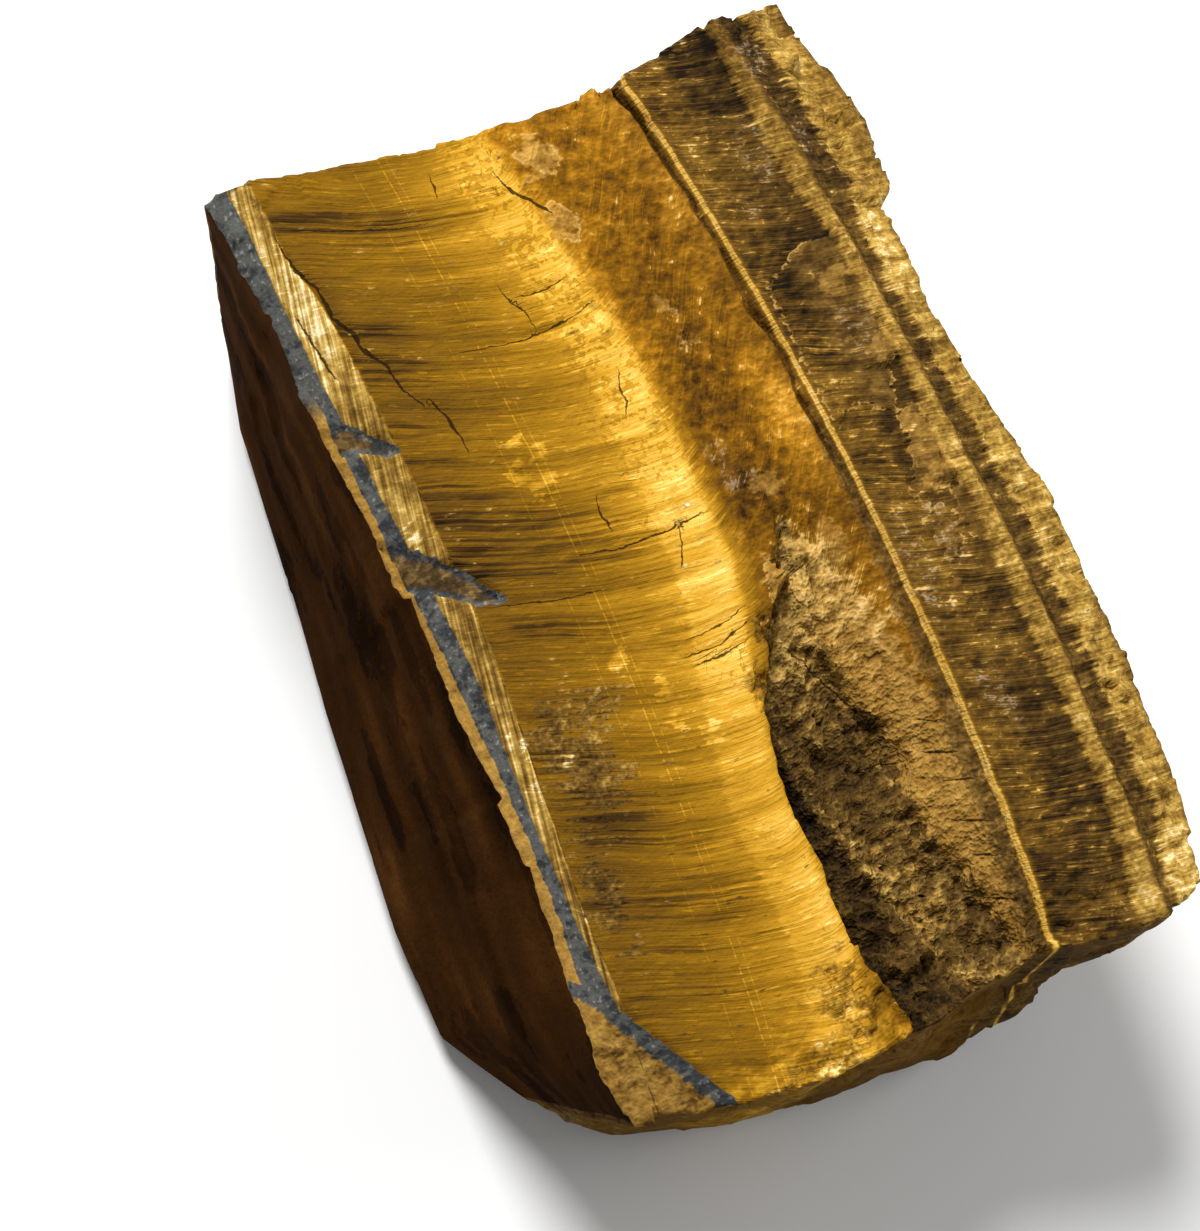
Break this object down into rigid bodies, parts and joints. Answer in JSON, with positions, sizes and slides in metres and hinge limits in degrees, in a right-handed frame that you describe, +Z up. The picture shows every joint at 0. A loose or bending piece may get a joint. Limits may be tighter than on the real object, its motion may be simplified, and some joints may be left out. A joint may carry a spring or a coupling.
{
  "type": "rough tiger's eye stone",
  "caption": "Rough block of tiger's eye with golden fibre bands, a raised seam, a broken pit and a dark ironstone edge, lying flat on its back.",
  "frame": {"origin": "centre of the bounding box, on the surface that the stone lies on", "axes": "+X across the layers towards the right rim, +Y along the layers, +Z up out of the fibre face"},
  "size_m": [0.0862, 0.1234, 0.0519],
  "materials": {
    "tigers_eye": "silky golden-brown fibrous quartz with a natural broken surface, banded with dark brown and blue-grey ironstone"
  },
  "bodies": {
    "root": {"stone": "tigers_eye"}
  },
  "joints": []
}
